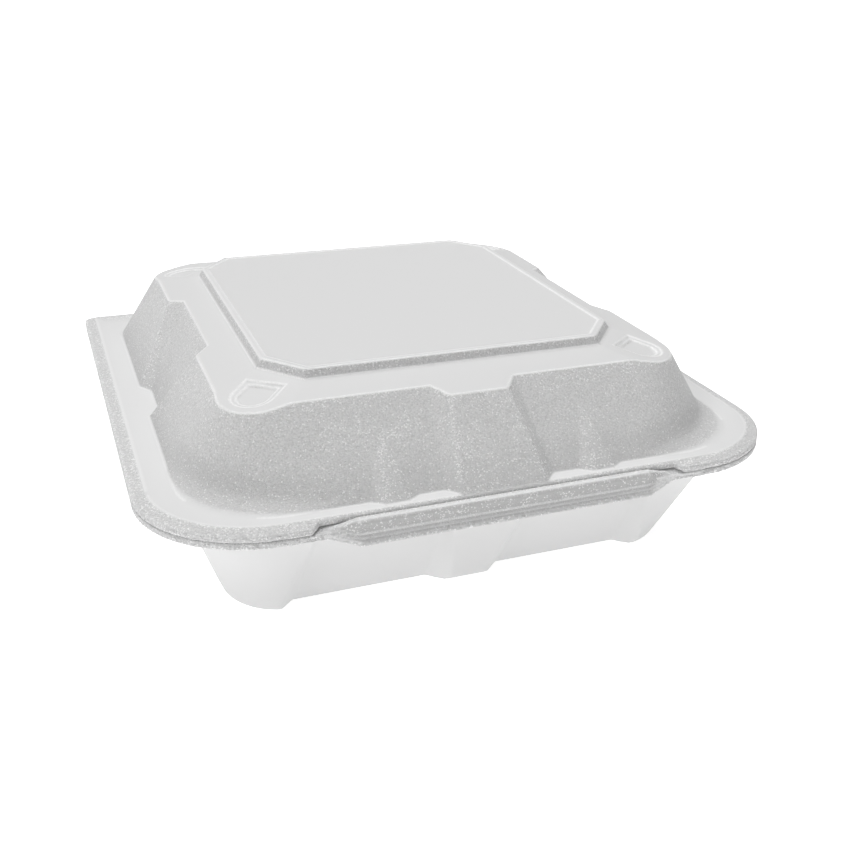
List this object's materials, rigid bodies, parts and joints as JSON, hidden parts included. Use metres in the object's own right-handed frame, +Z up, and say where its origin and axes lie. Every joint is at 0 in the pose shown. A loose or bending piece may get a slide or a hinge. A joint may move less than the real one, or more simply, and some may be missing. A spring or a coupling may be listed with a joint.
{
  "type": "hinged-lid foam food container",
  "caption": "White foam carry-out container with a domed hinged lid, a deep base tray and a front latch.",
  "frame": {"origin": "centre of the closed container's bounding box in plan, on the surface that it stands on", "axes": "+Z up, +Y from the front latch towards the hinge, +X towards the right-hand side seen from the front"},
  "size_m": [0.207, 0.2138, 0.0762],
  "materials": {
    "foam": "matt white expanded polystyrene foam with a fine cell grain"
  },
  "bodies": {
    "tray": {"base_tray": "foam"},
    "lid": {"lid": "foam"}
  },
  "joints": [
    {"name": "lid_hinge", "type": "hinge", "parent": "tray", "child": "lid", "pos_m": [0, 0.10705, 0.0453], "axis": [-1, 0, 0], "range_deg": [0, 180]}
  ]
}
